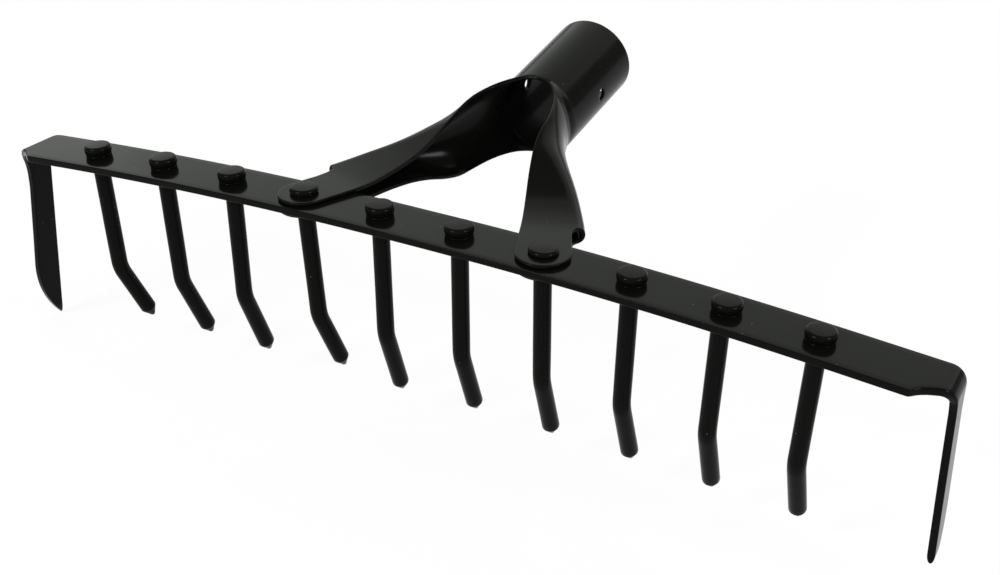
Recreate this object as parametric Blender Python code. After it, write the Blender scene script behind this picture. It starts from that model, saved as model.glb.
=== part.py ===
"""Head of a garden rake, built as separate pieces at real size.

A flat bar with a blade bent down at each end carries ten round tines, each
riveted through it. A forked tube socket, which takes the wooden handle, is
held by the rivets of the fourth and seventh tines.

Units are metres. X runs along the bar, Y points back towards the handle and
Z is up. The origin is the middle of the bar's top face.
"""

from dataclasses import dataclass
import math

import bmesh
import bpy
import numpy as np
from mathutils import Matrix

# Gap left between pieces that touch
CLEARANCE = 0.0003

# Bar
BAR_WIDTH = 0.0228
BAR_THICKNESS = 0.0025
BAR_ARCH_RADIUS = 1.97
BAR_ARCH_REACH = 0.160
BAR_FLAT_HALF_LENGTH = 0.008
BAR_STATION_SPACING = 0.016

# Blades at the bar's ends, each the rear part of the strip left by a notch in its front
BLADE_WIDTH = 0.0099
BLADE_FRONT = -0.0012
BLADE_POINT_WIDTH = 0.0006

# Left blade, pointed on its rear edge
LEFT_REACH = 0.1882
LEFT_SPLAY = math.radians(5.8)
LEFT_TOE = math.radians(5.3)
LEFT_DROP = 0.0844
LEFT_BEND_RADIUS = 0.0046
LEFT_POINT_LENGTH = 0.028
LEFT_POINT_GROWTH = 2.1
LEFT_POINT_BLUNTNESS = 1.0

# Right blade, pointed on its front edge
RIGHT_REACH = 0.1946
RIGHT_SPLAY = math.radians(0.0)
RIGHT_TOE = math.radians(3.0)
RIGHT_DROP = 0.0676
RIGHT_BEND_RADIUS = 0.0032
RIGHT_POINT_LENGTH = 0.021
RIGHT_POINT_GROWTH = 2.5
RIGHT_POINT_BLUNTNESS = 0.5

# Notches in front of the blades: steps past the bend's start, each with its depth
LEFT_NOTCH_STEPS = (-0.0057, -0.0030, 0.0020, 0.0068, 0.0122, 0.0165)
LEFT_NOTCH_DEPTHS = (0.0, 0.0020, 0.0053, 0.0078, 0.0102)
RIGHT_NOTCH_STEPS = (-0.0079, -0.0053, -0.0001, 0.0038, 0.0072, 0.0100)
RIGHT_NOTCH_DEPTHS = (0.0, 0.0029, 0.0059, 0.0078, 0.0100)

# Tines
TINE_COUNT = 10
TINE_PITCH = 0.033
TINE_RADIUS = 0.00323
TINE_BEND_DEPTH = 0.0494
TINE_BEND_ANGLE = math.radians(22.2)
TINE_BEND_RADIUS = 0.016
TINE_FOOT_LENGTH = 0.0316
TINE_POINT_LENGTH = 0.0045
TINE_POINT_RADIUS = 0.00075
SPIGOT_RADIUS = 0.0025

# Tines that stand askew, by number: degrees of lean along the bar and of turn about the rod
TINE_LEANS = {3: -1.4, 4: 2.5, 7: 1.0}
TINE_TURNS = {1: 22.0, 2: 6.0, 4: 5.0, 5: -9.0, 6: -5.0, 7: -8.0, 10: 3.0}

# Tines cut shorter or longer at the foot, by number
TINE_TRIMS = {1: -0.0041, 2: -0.0014, 4: -0.0029, 5: 0.0017, 10: -0.0012}

# Rivet heads, lower where they clamp the socket's lugs
HEAD_RADIUS = 0.00535
HEAD_BASE_RADIUS = 0.0046
HEAD_TOP_RADIUS = 0.0044
HEAD_HEIGHT = 0.0041
LUG_HEAD_HEIGHT = 0.0022
HEAD_TOP_CHAMFER = 0.0007
HEAD_FOOT_CHAMFER = 0.0010

# Socket tube and sheet
SHEET_THICKNESS = 0.0014
SOCKET_RADIUS = 0.0168
SOCKET_TILT = math.radians(9.4)
SOCKET_AXIS_CROSSING = 0.0342
SOCKET_CLOSED_LENGTH = 0.0472
CROTCH_DISTANCE = 0.0558
NAIL_HOLE_RADIUS = 0.0023
NAIL_HOLE_SETBACK = 0.0263

# Socket arms
NOTCH_HALF_WIDTH = 0.018
NOTCH_END = 0.062
NECK_HALF_HEIGHT = 0.0150
ARM_ANGLE = math.radians(23.7)
ARM_FOLD_DEPTH = 0.0225
ARM_LEVEL_LENGTH = 0.006
LUG_RADIUS = 0.0092
LUG_TINE_STEPS = 1.5
FOLD_CUT_DISTANCE = 0.0185
FOLD_CUT_RADIUS = 0.0055
INNER_EDGE_PULL = 0.070
FOLD_START_PULL = 0.050
FOLD_END_PULL = 0.092

# Places along an arm, as shares of its run from the crotch to the lug
CROTCH_SHARE = 0.12
NECK_SHARE = 1.0 / 3.0
FLATTEN_START = 0.29
FLATTEN_END = 0.70
SETTLE_END = 0.83

# Facets
ROUND_SEGMENTS = 16
BEND_STEPS = 5
SECTION_STEPS = 16
ARM_STEPS = 16
POINT_STEPS = 5
SMOOTH_ANGLE = math.radians(35)
CUTTER_MARGIN = 0.004
END_MARGIN = 0.004

# Finish
ENAMEL_BLACK = (0.010, 0.011, 0.010, 1.0)
BAR_ROUGHNESS = 0.20
TINE_ROUGHNESS = 0.28
SOCKET_ROUGHNESS = 0.25


def clear_scene():
    """Remove every object that the file holds."""
    for item in list(bpy.data.objects):
        bpy.data.objects.remove(item, do_unlink=True)


def make_enamel(name, roughness):
    """Black baked enamel on steel."""
    material = bpy.data.materials.new(name)
    material.use_nodes = True
    shader = material.node_tree.nodes["Principled BSDF"]
    shader.inputs["Base Color"].default_value = ENAMEL_BLACK
    shader.inputs["Roughness"].default_value = roughness
    shader.inputs["Metallic"].default_value = 0.0
    material.diffuse_color = ENAMEL_BLACK
    return material


def smoothstep(value):
    """Ease from 0 to 1, level at both ends."""
    value = np.clip(value, 0.0, 1.0)
    return value * value * (3.0 - 2.0 * value)


def blend(first, second, share):
    """Weighted mean of two values or arrays."""
    return first + (second - first) * share


def hermite(start, start_pull, end, end_pull, share):
    """Points of the cubic that leaves start along start_pull and meets end along end_pull."""
    share = np.asarray(share)[..., None]
    cube = share ** 3
    square = share ** 2
    return (
        (2.0 * cube - 3.0 * square + 1.0) * start
        + (cube - 2.0 * square + share) * start_pull
        + (3.0 * square - 2.0 * cube) * end
        + (cube - square) * end_pull
    )


def arch_angle(x):
    """Slope of the arched bar at a distance from its flat middle."""
    arched = np.clip(x, -BAR_ARCH_REACH, BAR_ARCH_REACH)
    return (arched - np.clip(x, -BAR_FLAT_HALF_LENGTH, BAR_FLAT_HALF_LENGTH)) / BAR_ARCH_RADIUS


def on_arch(points):
    """Bend flat points onto the bar's arch; past its reach they carry on straight."""
    points = np.asarray(points, dtype=float)
    level = np.clip(points[..., 0], -BAR_FLAT_HALF_LENGTH, BAR_FLAT_HALF_LENGTH)
    beyond = points[..., 0] - np.clip(points[..., 0], -BAR_ARCH_REACH, BAR_ARCH_REACH)
    angle = arch_angle(points[..., 0])
    radius = BAR_ARCH_RADIUS + points[..., 2]
    return np.stack(
        (
            level + radius * np.sin(angle) + beyond * np.cos(angle),
            points[..., 1],
            radius * np.cos(angle) - BAR_ARCH_RADIUS - beyond * np.sin(angle),
        ),
        axis=-1,
    )


def tine_matrix(x):
    """Place and tilt of a rivet that stands square to the arched bar at x."""
    place = on_arch((x, 0.0, 0.0))
    return Matrix.Translation(place) @ Matrix.Rotation(float(arch_angle(x)), 4, "Y")


def tine_positions():
    """Distance of each tine from the middle of the bar."""
    return [(index - (TINE_COUNT - 1) / 2.0) * TINE_PITCH for index in range(TINE_COUNT)]


def new_object(name, mesh, material=None):
    """Object with its mesh, linked into the scene."""
    item = bpy.data.objects.new(name, mesh)
    bpy.context.scene.collection.objects.link(item)
    if material is not None:
        mesh.materials.clear()
        mesh.materials.append(material)
    return item


def mesh_from_rings(name, rings):
    """Closed solid through rings of points, with flat ends."""
    rings = np.asarray(rings, dtype=float)
    count, around, _ = rings.shape
    faces = []
    for row in range(count - 1):
        for column in range(around):
            following = (column + 1) % around
            faces.append(
                (
                    row * around + column,
                    row * around + following,
                    (row + 1) * around + following,
                    (row + 1) * around + column,
                )
            )
    faces.append(tuple(range(around))[::-1])
    faces.append(tuple((count - 1) * around + column for column in range(around)))
    mesh = bpy.data.meshes.new(name)
    mesh.from_pydata(rings.reshape(-1, 3).tolist(), [], faces)
    return outward(mesh)


def outward(mesh):
    """Turn the faces of a closed mesh outwards."""
    shape = bmesh.new()
    shape.from_mesh(mesh)
    bmesh.ops.recalc_face_normals(shape, faces=shape.faces)
    shape.to_mesh(mesh)
    shape.free()
    return mesh


def smooth_round(mesh):
    """Shade smooth, with the real corners kept sharp."""
    mesh.shade_smooth()
    mesh.set_sharp_from_angle(angle=SMOOTH_ANGLE)


def cylinder_shape(shape, radius, low, high, matrix):
    """Add a cylinder between two heights whose flats clear the given radius."""
    made = bmesh.ops.create_cone(
        shape,
        cap_ends=True,
        segments=ROUND_SEGMENTS,
        radius1=radius / math.cos(math.pi / ROUND_SEGMENTS),
        radius2=radius / math.cos(math.pi / ROUND_SEGMENTS),
        depth=high - low,
    )
    shift = Matrix.Translation((0.0, 0.0, (high + low) / 2.0))
    bmesh.ops.transform(shape, matrix=matrix @ shift, verts=made["verts"])


def cut_with(item, name, shape):
    """Subtract a shape from an object and keep the cutter as a hidden guide."""
    mesh = bpy.data.meshes.new(name)
    bmesh.ops.recalc_face_normals(shape, faces=shape.faces)
    shape.to_mesh(mesh)
    shape.free()
    cutter = new_object(name, mesh)
    cutter.hide_render = True
    cutter.display_type = "WIRE"
    cut = item.modifiers.new(name, "BOOLEAN")
    cut.operation = "DIFFERENCE"
    cut.solver = "EXACT"
    cut.object = cutter


@dataclass(frozen=True)
class BarEnd:
    """One end of the bar: the side it is on and how its blade is cut and bent."""

    side: int
    reach: float
    splay: float
    toe: float
    drop: float
    bend_radius: float
    notch_steps: tuple
    notch_depths: tuple
    point_at_front: bool
    point_length: float
    point_growth: float
    point_bluntness: float

    @property
    def middle_radius(self):
        """Bend radius at mid thickness."""
        return self.bend_radius + BAR_THICKNESS / 2.0

    @property
    def fold_start(self):
        """Distance from the bar's middle at which the bend starts."""
        return self.reach - self.bend_radius - BAR_THICKNESS

    @property
    def fold_angle(self):
        """Turn from the arched bar's end down to the splayed blade."""
        return math.pi / 2.0 - self.splay - float(arch_angle(BAR_ARCH_REACH))

    @property
    def fold_length(self):
        """Length of the strip that the bend takes up."""
        return self.middle_radius * self.fold_angle

    @property
    def strip_length(self):
        """Length of the strip from the start of the bend to the blade's point."""
        bend_drop = self.middle_radius * (1.0 - math.cos(self.fold_angle))
        straight = (self.drop - BAR_THICKNESS / 2.0 - bend_drop) / math.sin(self.fold_angle)
        return self.fold_length + straight

    @property
    def plain_length(self):
        """Length of plain bar between its middle and the slanted notch and bend."""
        slant = BAR_WIDTH / 2.0 * math.tan(self.toe)
        return self.fold_start + self.notch_steps[0] - slant - END_MARGIN

    def stations(self):
        """Distances past the start of the bend at which the strip is drawn."""
        bend = np.linspace(0.0, self.fold_length, BEND_STEPS + 1)
        quarter = np.sin(np.linspace(0.0, math.pi / 2.0, POINT_STEPS + 1))
        point = self.strip_length - self.point_length * (1.0 - quarter)
        return np.unique(np.round(np.concatenate((self.notch_steps, bend, point)), 7))

    def bar_edge(self, across, along):
        """Where the bar's straight edge crosses a station, measured along the fold."""
        return across / math.cos(self.toe) - along * math.tan(self.toe)

    def edges(self, along):
        """Front and rear edge of the strip at a station."""
        front = self.bar_edge(-BAR_WIDTH / 2.0, along)
        rear = self.bar_edge(BAR_WIDTH / 2.0, along)
        depths = (*self.notch_depths, BLADE_FRONT - front)
        front = front + np.interp(along, self.notch_steps, depths)
        rear = blend(rear, BLADE_FRONT + BLADE_WIDTH, smoothstep(along / self.fold_length))
        to_point = np.clip((along - self.strip_length) / self.point_length + 1.0, 0.0, 1.0)
        share = 1.0 - (1.0 - to_point ** self.point_growth) ** self.point_bluntness
        if self.point_at_front:
            return front, blend(rear, front + BLADE_POINT_WIDTH, share)
        return blend(front, rear - BLADE_POINT_WIDTH, share), rear

    def fold(self, along, across):
        """Bent place and outward direction of a point of the flat strip."""
        turn = min(max(along / self.middle_radius, 0.0), self.fold_angle)
        past = along - self.middle_radius * turn
        ahead = self.middle_radius * math.sin(turn) + past * math.cos(turn)
        drop = self.middle_radius * (1.0 - math.cos(turn)) + past * math.sin(turn)
        ahead_x = math.cos(self.toe)
        ahead_y = math.sin(self.toe)
        place = np.array(
            (
                self.fold_start + ahead * ahead_x - across * ahead_y,
                ahead * ahead_y + across * ahead_x,
                -drop - BAR_THICKNESS / 2.0,
            )
        )
        outside = np.array((math.sin(turn) * ahead_x, math.sin(turn) * ahead_y, math.cos(turn)))
        return place, outside

    def rings(self):
        """Four corners of the strip at each station, from the bend to the point."""
        rings = []
        for along in self.stations():
            corners = []
            for across, half in zip(self.edges(along) * 2, (1, 1, -1, -1)):
                place, outside = self.fold(along, across)
                corners.append(place + outside * half * BAR_THICKNESS / 2.0)
            rings.append([corners[0], corners[1], corners[3], corners[2]])
        rings = np.array(rings)
        rings[..., 0] *= self.side
        return rings


LEFT_END = BarEnd(
    side=-1,
    reach=LEFT_REACH,
    splay=LEFT_SPLAY,
    toe=LEFT_TOE,
    drop=LEFT_DROP,
    bend_radius=LEFT_BEND_RADIUS,
    notch_steps=LEFT_NOTCH_STEPS,
    notch_depths=LEFT_NOTCH_DEPTHS,
    point_at_front=False,
    point_length=LEFT_POINT_LENGTH,
    point_growth=LEFT_POINT_GROWTH,
    point_bluntness=LEFT_POINT_BLUNTNESS,
)
RIGHT_END = BarEnd(
    side=1,
    reach=RIGHT_REACH,
    splay=RIGHT_SPLAY,
    toe=RIGHT_TOE,
    drop=RIGHT_DROP,
    bend_radius=RIGHT_BEND_RADIUS,
    notch_steps=RIGHT_NOTCH_STEPS,
    notch_depths=RIGHT_NOTCH_DEPTHS,
    point_at_front=True,
    point_length=RIGHT_POINT_LENGTH,
    point_growth=RIGHT_POINT_GROWTH,
    point_bluntness=RIGHT_POINT_BLUNTNESS,
)


def bar_ring(x):
    """Four corners of the plain bar at a distance from its middle."""
    half = BAR_WIDTH / 2.0
    return [
        (x, -half, 0.0),
        (x, half, 0.0),
        (x, half, -BAR_THICKNESS),
        (x, -half, -BAR_THICKNESS),
    ]


def plain_stations(length):
    """Distances from the middle at which one half of the plain bar is drawn."""
    count = round((length - BAR_FLAT_HALF_LENGTH) / BAR_STATION_SPACING)
    return np.linspace(BAR_FLAT_HALF_LENGTH, length, count + 1)


def build_bar():
    """Flat bar with both end blades, arched and drilled for the spigots."""
    left_places = -plain_stations(LEFT_END.plain_length)[::-1]
    right_places = plain_stations(RIGHT_END.plain_length)
    left = LEFT_END.rings()[::-1]
    plain = np.array([bar_ring(x) for x in (*left_places, *right_places)])
    right = RIGHT_END.rings()
    mesh = mesh_from_rings("head_bar", on_arch(np.concatenate((left, plain, right))))
    smooth_round(mesh)
    bar = new_object("head_bar", mesh, make_enamel("bar_enamel", BAR_ROUGHNESS))
    holes = bmesh.new()
    for x in tine_positions():
        low = -BAR_THICKNESS - CUTTER_MARGIN
        cylinder_shape(holes, SPIGOT_RADIUS + CLEARANCE, low, CUTTER_MARGIN, tine_matrix(x))
    cut_with(bar, "bar_hole_cutters", holes)
    return bar


def ring(center, radius, direction):
    """Circle of points square to a direction in the tine's own plane of bend."""
    around = np.linspace(0.0, 2.0 * math.pi, ROUND_SEGMENTS, endpoint=False)
    side = np.array((1.0, 0.0, 0.0))
    other = np.cross(direction, side)
    return center + radius * (
        np.cos(around)[:, None] * side + np.sin(around)[:, None] * other
    )


def rod_rings(shoulder, trim):
    """Rings of the rod below its shoulder: straight, bent back, then pointed."""
    foot_length = TINE_FOOT_LENGTH + trim
    down = np.array((0.0, 0.0, -1.0))
    foot = np.array((0.0, math.sin(TINE_BEND_ANGLE), -math.cos(TINE_BEND_ANGLE)))
    corner = down * TINE_BEND_DEPTH
    tangent = TINE_BEND_RADIUS * math.tan(TINE_BEND_ANGLE / 2.0)
    bend_center = corner - down * tangent + np.array((0.0, TINE_BEND_RADIUS, 0.0))
    rings = [ring(down * shoulder, TINE_RADIUS, down)]
    for turn in np.linspace(0.0, TINE_BEND_ANGLE, BEND_STEPS + 1):
        away = np.array((0.0, -math.cos(turn), -math.sin(turn)))
        heading = np.array((0.0, math.sin(turn), -math.cos(turn)))
        rings.append(ring(bend_center + away * TINE_BEND_RADIUS, TINE_RADIUS, heading))
    for before_tip, radius in (
        (TINE_POINT_LENGTH, TINE_RADIUS),
        (TINE_POINT_RADIUS / 2.0, TINE_POINT_RADIUS),
        (0.0, TINE_POINT_RADIUS / 2.0),
    ):
        rings.append(ring(corner + foot * (foot_length - before_tip), radius, foot))
    return np.array(rings)


def tine_mesh(name, stack, head_height, lean, turn, trim):
    """Tine riveted through the bar and a stack of sheet on each side of it."""
    down = np.array((0.0, 0.0, -1.0))
    seat = stack + CLEARANCE
    shoulder = BAR_THICKNESS + stack + CLEARANCE
    head = (
        (seat + head_height, HEAD_TOP_RADIUS),
        (seat + head_height - HEAD_TOP_CHAMFER, HEAD_RADIUS),
        (seat + HEAD_FOOT_CHAMFER, HEAD_RADIUS),
        (seat, HEAD_BASE_RADIUS),
        (seat, SPIGOT_RADIUS),
        (-shoulder, SPIGOT_RADIUS),
    )
    upper = np.array([ring((0.0, 0.0, height), radius, down) for height, radius in head])
    rod = rod_rings(shoulder, trim)
    pivot = np.array((0.0, 0.0, -shoulder))
    askew = np.array(Matrix.Rotation(-lean, 3, "Y") @ Matrix.Rotation(-turn, 3, "Z"))
    rod[1:] = (rod[1:] - pivot) @ askew.T + pivot
    mesh = mesh_from_rings(name, np.concatenate((upper, rod)))
    smooth_round(mesh)
    return mesh


def build_tines():
    """Ten tines; the two under the lugs also clamp the socket's sheet."""
    enamel = make_enamel("tine_enamel", TINE_ROUGHNESS)
    for number, x in enumerate(tine_positions(), start=1):
        in_lug = math.isclose(abs(x), LUG_TINE_STEPS * TINE_PITCH)
        mesh = tine_mesh(
            name=f"tine_{number:02d}",
            stack=SHEET_THICKNESS + CLEARANCE if in_lug else 0.0,
            head_height=LUG_HEAD_HEIGHT if in_lug else HEAD_HEIGHT,
            lean=math.radians(TINE_LEANS.get(number, 0.0)),
            turn=math.radians(TINE_TURNS.get(number, 0.0)),
            trim=TINE_TRIMS.get(number, 0.0),
        )
        tine = new_object(mesh.name, mesh, enamel)
        tine.matrix_world = tine_matrix(x)


def axis_height(y):
    """Height of the socket tube's axis above the bar's top face."""
    return (y - SOCKET_AXIS_CROSSING) * math.tan(SOCKET_TILT)


class SocketShape:
    """Mid-thickness surface of the socket's right half, from mouth to lug."""

    def __init__(self):
        self.tube_radius = SOCKET_RADIUS - SHEET_THICKNESS / 2.0
        self.fold_half = BAR_THICKNESS / 2.0 + CLEARANCE + SHEET_THICKNESS / 2.0
        self.crotch_y = SOCKET_AXIS_CROSSING + CROTCH_DISTANCE * math.cos(SOCKET_TILT)
        self.lug = np.array((LUG_TINE_STEPS * TINE_PITCH, 0.0))
        self.outward = np.array((math.cos(ARM_ANGLE), math.sin(ARM_ANGLE)))
        self.forward = np.array((math.sin(ARM_ANGLE), -math.cos(ARM_ANGLE)))

    def inner_edge(self, share):
        """Plan of the arm's open edge: round notch, then a curve to the lug."""
        turn = np.clip(share / NECK_SHARE, 0.0, 1.0) * math.pi / 2.0
        notch = np.stack(
            (
                NOTCH_HALF_WIDTH * np.sin(turn),
                NOTCH_END + (self.crotch_y - NOTCH_END) * np.cos(turn),
            ),
            axis=-1,
        )
        start = np.array((NOTCH_HALF_WIDTH, NOTCH_END))
        end = self.lug - self.outward * LUG_RADIUS
        along = np.clip((share - NECK_SHARE) / (1.0 - NECK_SHARE), 0.0, 1.0)
        pull = np.array((0.0, -INNER_EDGE_PULL))
        curve = hermite(start, pull, end, self.forward * INNER_EDGE_PULL, along)
        past = np.maximum(share - 1.0, 0.0)[:, None] * self.forward
        return np.where((share < NECK_SHARE)[:, None], notch, curve + past)

    def fold_line(self, share):
        """Plan of the arm's outer fold, from the tube's side to beside the lug."""
        start = np.array((self.tube_radius, self.crotch_y))
        end = self.lug + self.outward * (ARM_FOLD_DEPTH - LUG_RADIUS)
        curve = hermite(
            start,
            np.array((0.0, -FOLD_START_PULL)),
            end,
            self.forward * FOLD_END_PULL,
            np.clip(share, 0.0, 1.0),
        )
        return curve + np.maximum(share - 1.0, 0.0)[:, None] * self.forward

    def half_height(self, share):
        """Half of the opening's height: tube, neck, then flattened round the bar."""
        neck = blend(self.tube_radius, NECK_HALF_HEIGHT, smoothstep(share / CROTCH_SHARE))
        flat = smoothstep((share - FLATTEN_START) / (FLATTEN_END - FLATTEN_START))
        return blend(neck, self.fold_half, flat)

    def middle_height(self, share, y):
        """Height of the arm's middle: the tube's axis, levelled out, then the bar."""
        ahead = np.logaddexp(0.0, (y - NOTCH_END) / ARM_LEVEL_LENGTH) * ARM_LEVEL_LENGTH
        level = axis_height(NOTCH_END) + math.tan(SOCKET_TILT) * ahead
        settled = smoothstep((share - NECK_SHARE) / (SETTLE_END - NECK_SHARE))
        return blend(level, -BAR_THICKNESS / 2.0, settled), settled

    def section(self, depth, half):
        """Open section of the sheet: an arc, or two legs joined by a half circle."""
        radius = (half ** 2 + depth ** 2) / (2.0 * depth) if depth < half else half
        leg = max(depth - half, 0.0)
        swing = math.asin(min(half / radius, 1.0))
        reach = leg + swing * radius
        run = np.linspace(-reach, reach, 20 * SECTION_STEPS + 1)
        turned = np.clip(run, -swing * radius, swing * radius) / radius
        place = (run / reach + turned / swing) / 2.0
        run = np.interp(np.linspace(1.0, -1.0, SECTION_STEPS + 1), place, run)
        turned = np.clip(run, -swing * radius, swing * radius) / radius
        out = depth - radius + radius * np.cos(turned) - np.maximum(abs(run) - swing * radius, 0.0)
        up = radius * np.sin(turned)
        return out, up

    def tube_rows(self):
        """Half circles of the closed tube, mouth first, up to the crotch."""
        out, up = self.section(self.tube_radius, self.tube_radius)
        rows = []
        for distance in (SOCKET_CLOSED_LENGTH, SOCKET_CLOSED_LENGTH / 2.0, 0.0):
            along = CROTCH_DISTANCE + distance
            y = SOCKET_AXIS_CROSSING + along * math.cos(SOCKET_TILT)
            z = along * math.sin(SOCKET_TILT)
            rows.append(
                np.stack((out, y - up * math.sin(SOCKET_TILT), z + up * math.cos(SOCKET_TILT)), -1)
            )
        return rows

    def arm_rows(self):
        """Sections of the arm from just past the crotch to past the lug."""
        share = np.linspace(0.0, 1.0, ARM_STEPS + 1)[1:] ** 1.25
        share = np.append(share, 1.0 + LUG_RADIUS + CUTTER_MARGIN)
        inner = self.inner_edge(share)
        fold = self.fold_line(share)
        half = self.half_height(share)
        middle, settled = self.middle_height(share, inner[:, 1])
        tilt = SOCKET_TILT * (1.0 - smoothstep(share / NECK_SHARE))
        rows = []
        for row in range(len(share)):
            span = fold[row] - inner[row]
            depth = float(np.hypot(*span))
            outward_way = span / depth
            out, up = self.section(depth, float(half[row]))
            x = inner[row, 0] + out * outward_way[0]
            y = inner[row, 1] + out * outward_way[1] - up * math.sin(tilt[row])
            drop = on_arch(np.stack((x, y, np.zeros_like(x)), -1))[:, 2]
            z = middle[row] + up * math.cos(tilt[row]) + drop * settled[row]
            rows.append(np.stack((x, y, z), -1))
        return rows


def socket_sheet(shape):
    """Mid-thickness mesh of both halves, joined along the closed tube."""
    tube = shape.tube_rows()
    rows = np.array(tube + shape.arm_rows())
    closed = len(tube)
    sheet = bmesh.new()
    halves = []
    for side in (1.0, -1.0):
        grid = []
        for index, row in enumerate(rows):
            line = [sheet.verts.new((side * x, y, z)) for x, y, z in row]
            if side < 0.0 and index < closed:
                for seam in (0, -1):
                    sheet.verts.remove(line[seam])
                    line[seam] = halves[0][index][seam]
            grid.append(line)
        halves.append(grid)
        for row in range(len(rows) - 1):
            for column in range(SECTION_STEPS):
                corners = [
                    grid[row][column],
                    grid[row][column + 1],
                    grid[row + 1][column + 1],
                    grid[row + 1][column],
                ]
                sheet.faces.new(corners if side > 0.0 else corners[::-1])
    mesh = bpy.data.meshes.new("handle_socket")
    sheet.to_mesh(mesh)
    sheet.free()
    return mesh


def lug_outline():
    """Outline of what is cut away round a lug, in outward and rearward steps."""
    front = np.linspace(math.pi, 2.0 * math.pi, ROUND_SEGMENTS + 1)
    lug = np.stack((LUG_RADIUS * np.cos(front), LUG_RADIUS * np.sin(front)), -1)
    corner = np.linspace(math.pi, math.pi / 2.0, BEND_STEPS + 1)
    center = np.array((LUG_RADIUS + FOLD_CUT_RADIUS, FOLD_CUT_DISTANCE - FOLD_CUT_RADIUS))
    fillet = center + FOLD_CUT_RADIUS * np.stack((np.cos(corner), np.sin(corner)), -1)
    far = 2.0 * (ARM_FOLD_DEPTH + LUG_RADIUS)
    block = np.array(((far, FOLD_CUT_DISTANCE), (far, -far), (-far, -far), (-far, 0.0)))
    return np.concatenate((lug, fillet, block))


def lug_cutter(cutters, side):
    """Prism that trims one arm to its rounded lug and opens the end of its fold."""
    rear = np.array((-math.sin(ARM_ANGLE), math.cos(ARM_ANGLE)))
    out = np.array((math.cos(ARM_ANGLE), math.sin(ARM_ANGLE)))
    outline = lug_outline() @ np.array((out, rear))
    outline[:, 0] = side * (outline[:, 0] + LUG_TINE_STEPS * TINE_PITCH)
    reach = SHEET_THICKNESS + BAR_THICKNESS + CUTTER_MARGIN
    loop = [cutters.verts.new((x, y, -reach)) for x, y in outline]
    face = cutters.faces.new(loop)
    raised = bmesh.ops.extrude_face_region(cutters, geom=[face])
    lifted = [item for item in raised["geom"] if isinstance(item, bmesh.types.BMVert)]
    bmesh.ops.translate(cutters, verts=lifted, vec=(0.0, 0.0, 2.0 * reach))


def build_socket():
    """Tube socket that forks into two arms, each clamped over the bar by a rivet."""
    shape = SocketShape()
    mesh = socket_sheet(shape)
    mesh.shade_smooth()
    socket = new_object("handle_socket", mesh, make_enamel("socket_enamel", SOCKET_ROUGHNESS))
    wall = socket.modifiers.new("wall", "SOLIDIFY")
    wall.thickness = SHEET_THICKNESS
    wall.offset = 0.0
    wall.use_even_offset = True
    cutters = bmesh.new()
    for side in (1.0, -1.0):
        lug_cutter(cutters, side)
        reach = SHEET_THICKNESS + CUTTER_MARGIN
        place = tine_matrix(side * LUG_TINE_STEPS * TINE_PITCH)
        low = -BAR_THICKNESS - reach
        cylinder_shape(cutters, SPIGOT_RADIUS + CLEARANCE, low, reach, place)
    nail_along = CROTCH_DISTANCE + SOCKET_CLOSED_LENGTH - NAIL_HOLE_SETBACK
    nail_place = Matrix.Translation(
        (
            0.0,
            SOCKET_AXIS_CROSSING + nail_along * math.cos(SOCKET_TILT),
            nail_along * math.sin(SOCKET_TILT),
        )
    )
    across = nail_place @ Matrix.Rotation(math.pi / 2.0, 4, "Y")
    nail_reach = SOCKET_RADIUS + CUTTER_MARGIN
    cylinder_shape(cutters, NAIL_HOLE_RADIUS, -nail_reach, nail_reach, across)
    cut_with(socket, "socket_cutters", cutters)
    return socket


def main():
    """Build every piece of the rake head."""
    clear_scene()
    build_bar()
    build_tines()
    build_socket()


main()
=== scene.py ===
"""Looks of a garden rake head in glossy black enamel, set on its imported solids.

The head has a flat bar with a blade bent down at each end, ten round tines
riveted through the bar, and a forked sheet socket for the wooden handle.
Units are metres. X runs along the bar, Y points back towards the handle and
Z is up. The origin is the middle of the bar's top face.
"""

from dataclasses import dataclass
from enum import Enum
import logging
import math

import bpy
from mathutils import Matrix, Vector
import numpy as np


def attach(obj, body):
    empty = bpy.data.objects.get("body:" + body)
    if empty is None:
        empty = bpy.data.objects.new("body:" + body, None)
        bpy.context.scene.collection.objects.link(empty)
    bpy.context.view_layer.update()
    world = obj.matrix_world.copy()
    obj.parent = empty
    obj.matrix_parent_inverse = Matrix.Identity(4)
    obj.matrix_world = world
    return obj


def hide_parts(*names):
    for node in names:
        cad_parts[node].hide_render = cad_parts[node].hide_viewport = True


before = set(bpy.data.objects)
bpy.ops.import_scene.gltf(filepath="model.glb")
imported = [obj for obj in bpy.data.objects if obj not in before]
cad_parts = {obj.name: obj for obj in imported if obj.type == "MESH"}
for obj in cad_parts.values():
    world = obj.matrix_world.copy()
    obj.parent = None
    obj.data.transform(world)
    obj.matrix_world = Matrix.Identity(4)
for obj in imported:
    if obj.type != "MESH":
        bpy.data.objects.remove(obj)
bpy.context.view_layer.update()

LOG = logging.getLogger("rake_head")
MM = 0.001
BAR_WIDTH = 22.8 * MM
BAR_THICKNESS = 2.65 * MM
SHEET = 1.4 * MM
GAP = 0.3 * MM
QUARTER = math.pi / 2.0
TINY = 1e-9
WINDOW = np.linspace(-0.5, 0.5, 9)
RIM_STEPS = 6
RIM_POWER = 0.62
RIM_BULGE = 0.8
RANGE = ("From Min", "From Max", "To Min", "To Max")
BODY = "root"
Array = np.ndarray
Piece = bpy.types.Object


class Side(Enum):
    """The two ends of the bar and the two arms of the socket."""

    LEFT = -1
    RIGHT = 1


class PointedEdge(Enum):
    """Edge of a blade that its point lies on."""

    FRONT = "front"
    REAR = "rear"


def joined(*parts: Array) -> Array:
    """Arrays one after another, along their first axis."""
    return np.concatenate(parts)


def stacked(*parts: Array) -> Array:
    """Coordinates side by side, as one point for each place."""
    return np.stack(parts, axis=-1)


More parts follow.
